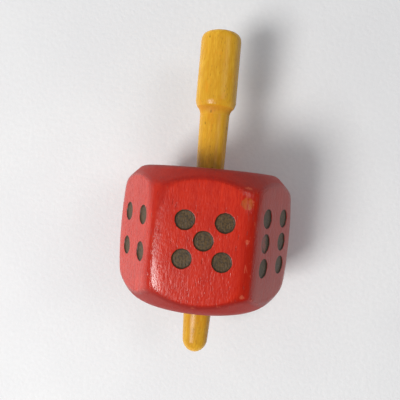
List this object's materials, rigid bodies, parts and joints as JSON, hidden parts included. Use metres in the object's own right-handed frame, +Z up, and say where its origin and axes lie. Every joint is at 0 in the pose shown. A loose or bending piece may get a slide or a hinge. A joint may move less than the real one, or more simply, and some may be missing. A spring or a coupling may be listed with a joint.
{
  "type": "hexagonal dice top",
  "caption": "Wooden spinning top: a hexagonal block with dice pips on its flats, on a turned spindle with a thick finger grip.",
  "frame": {"origin": "middle of the flat that the top lies on, the flat with two pips, halfway along the block", "axes": "+Y along the spin axis towards the finger grip, +Z up through the flat with five pips, +X towards the flat with six pips"},
  "size_m": [0.0398, 0.0748, 0.035],
  "materials": {
    "red_wood": "red stain under a satin lacquer, fine grain along the spindle, worn at the corners",
    "yellow_wood": "amber yellow stain under a satin lacquer, with fine open pores along the grain",
    "pip_paint": "dull dark olive-brown paint in shallow stamped pips"
  },
  "bodies": {
    "root": {"hex_block": "red_wood", "spindle": "yellow_wood"}
  },
  "joints": []
}
